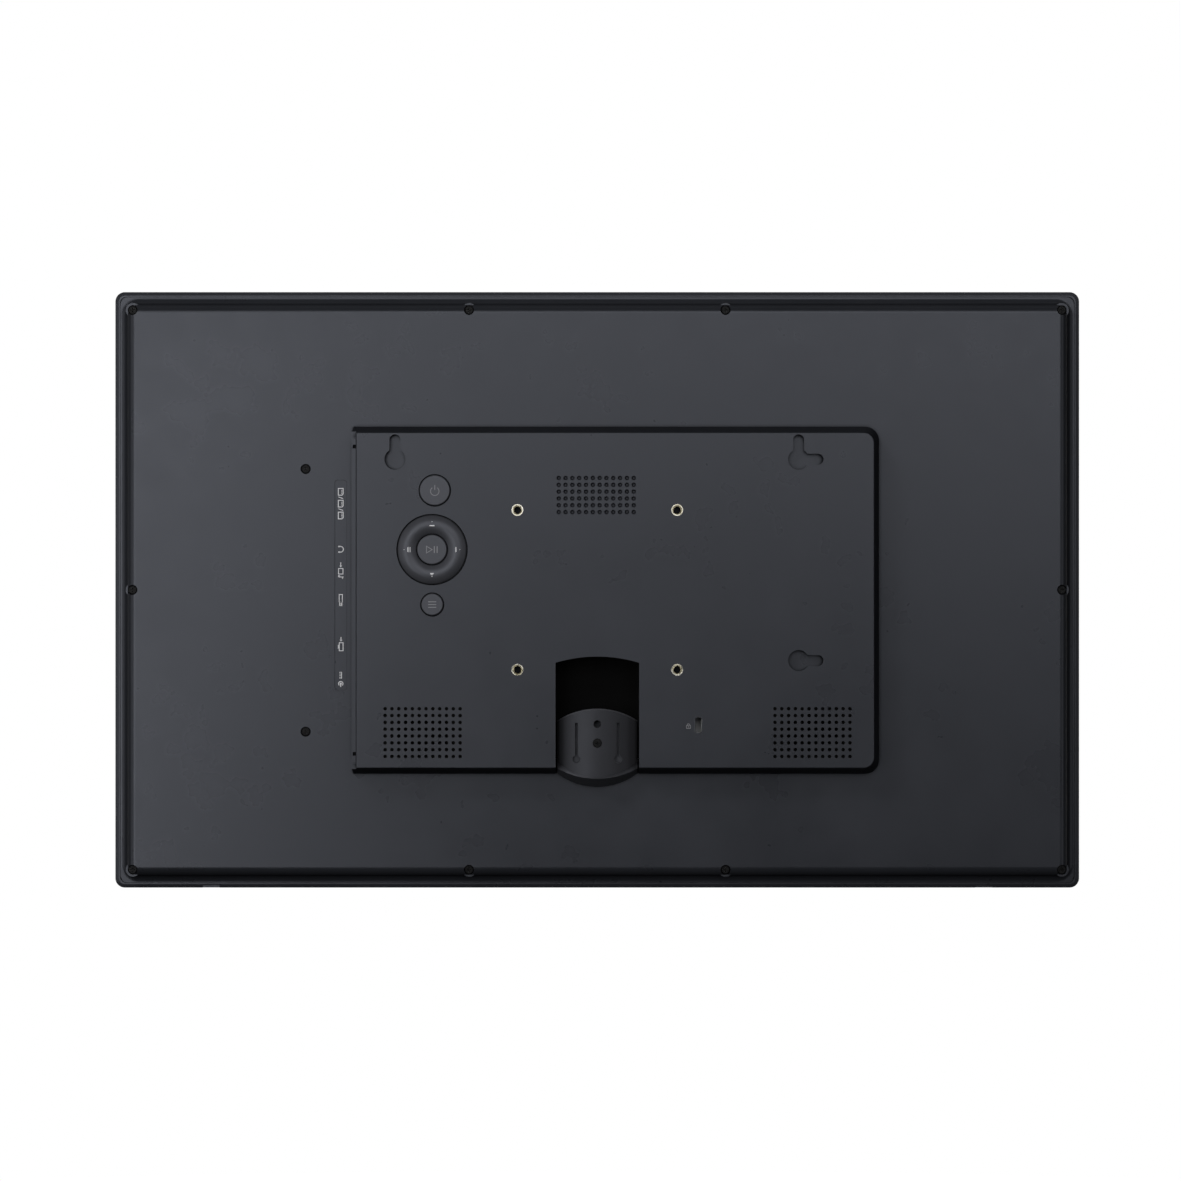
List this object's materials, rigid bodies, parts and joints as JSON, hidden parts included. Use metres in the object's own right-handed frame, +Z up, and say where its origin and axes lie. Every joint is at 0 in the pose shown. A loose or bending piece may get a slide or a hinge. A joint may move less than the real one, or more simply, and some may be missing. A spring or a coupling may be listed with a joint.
{
  "type": "digital photo frame",
  "caption": "Wide digital photo frame with a plain bezel, a flat back and a raised electronics housing that carries round controls, wall mounts, ports and a tilting stand hinge.",
  "frame": {"origin": "centre of the four wall-mount holes, on the rear face of the electronics housing", "axes": "+X to the left as seen from behind, +Y out of the back (the screen faces -Y), +Z up"},
  "size_m": [0.458, 0.039, 0.283],
  "materials": {
    "shell_plastic": "fine-textured moulded plastic, charcoal grey with a soft sheen",
    "bezel_plastic": "satin black moulded plastic",
    "control_plastic": "smooth charcoal moulded plastic, slightly glossier than the housing",
    "hinge_plastic": "textured dark moulded plastic",
    "hinge_face": "dark powder-coated steel",
    "well_plastic": "black moulded plastic",
    "black_screws": "black-coated steel",
    "nickel_inserts": "nickel-plated brass, turned",
    "sheet_steel": "galvanised sheet steel",
    "hinge_steel": "ground spring steel, lightly greased",
    "zinc_screws": "zinc-plated steel",
    "screen_glass": "dark semi-gloss display surface, switched off",
    "clear_optics": "clear and white diffusing acrylic",
    "white_plastic": "white moulded plastic",
    "circuit_board": "green solder mask over glass-fibre laminate",
    "chip_black": "black epoxy packages",
    "fin_aluminium": "extruded aluminium",
    "ribbon_film": "white polyester film",
    "wire_sleeve": "soft black insulation",
    "socket_steel": "nickel-plated folded steel",
    "socket_plastic": "black glass-filled plastic",
    "speaker_steel": "black-painted pressed steel",
    "speaker_cone": "pressed paper cone with a soft edge",
    "magnet": "ferrite magnet and plated yoke",
    "silicone": "soft dark silicone or foam"
  },
  "bodies": {
    "frame": {"av_jack": "socket_plastic", "board_components": "chip_black", "board_posts": "sheet_steel", "board_screws": "zinc_screws", "card_socket": "socket_steel", "dc_jack": "socket_plastic", "direction_plungers": "white_plastic", "display_cable": "ribbon_film", "electronics_cover": "shell_plastic", "front_bezel": "bezel_plastic", "hdmi_socket": "socket_steel", "headphone_jack": "socket_plastic", "heat_sink": "fin_aluminium", "hinge_bracket": "sheet_steel", "hinge_shaft": "hinge_steel", "hinge_washers": "hinge_steel", "hinge_well": "well_plastic", "housing_screws": "zinc_screws", "keypad_board": "circuit_board", "keypad_cable": "ribbon_film", "keypad_screws": "zinc_screws", "lcd_front_frame": "sheet_steel", "lcd_glass": "screen_glass", "lcd_rear_tray": "sheet_steel", "led_bar": "circuit_board", "left_speaker_chassis": "speaker_steel", "left_speaker_cone": "speaker_cone", "left_speaker_magnet": "magnet", "left_speaker_wire": "wire_sleeve", "light_guide": "clear_optics", "lock_plate": "sheet_steel", "main_board": "circuit_board", "optical_sheets": "clear_optics", "panel_frame": "white_plastic", "panel_screws": "black_screws", "port_plate": "shell_plastic", "rear_cover": "shell_plastic", "right_speaker_chassis": "speaker_steel", "right_speaker_cone": "speaker_cone", "right_speaker_magnet": "magnet", "right_speaker_wire": "wire_sleeve", "rim_screws": "black_screws", "speaker_gaskets": "silicone", "support_bracket": "sheet_steel", "tact_switches": "white_plastic", "tcon_board": "circuit_board", "usb_socket": "socket_steel", "vesa_inserts": "nickel_inserts"},
    "power_button": {"power_button": "control_plastic", "power_plunger": "white_plastic"},
    "menu_button": {"menu_button": "control_plastic", "menu_plunger": "white_plastic"},
    "ok_button": {"ok_button": "control_plastic", "ok_plunger": "white_plastic"},
    "nav_gimbal": {"nav_gimbal": "silicone"},
    "nav_ring": {"nav_ring": "control_plastic"},
    "stand_hinge": {"hinge_block": "hinge_plastic", "hinge_plate": "hinge_face", "hinge_plate_screw": "black_screws"}
  },
  "joints": [
    {"name": "power_press", "type": "slide", "parent": "frame", "child": "power_button", "axis": [0, -1, 0], "range_m": [0, 0.0004], "stiffness_N_per_m": 1500},
    {"name": "menu_press", "type": "slide", "parent": "frame", "child": "menu_button", "axis": [0, -1, 0], "range_m": [0, 0.0004], "stiffness_N_per_m": 1500},
    {"name": "ok_press", "type": "slide", "parent": "frame", "child": "ok_button", "axis": [0, -1, 0], "range_m": [0, 0.0004], "stiffness_N_per_m": 1500},
    {"name": "nav_tilt_up_down", "type": "hinge", "parent": "frame", "child": "nav_gimbal", "pos_m": [0.0776, -0.0034, 0.0189], "axis": [1, 0, 0], "range_deg": [-2, 2], "stiffness_Nm_per_rad": 0.6},
    {"name": "nav_tilt_left_right", "type": "hinge", "parent": "nav_gimbal", "child": "nav_ring", "pos_m": [0.0776, -0.0034, 0.0189], "axis": [0, 0, 1], "range_deg": [-2, 2], "stiffness_Nm_per_rad": 0.6},
    {"name": "stand_tilt", "type": "hinge", "parent": "frame", "child": "stand_hinge", "pos_m": [0, -0.012, -0.074], "axis": [1, 0, 0], "range_deg": [0, 20]}
  ]
}
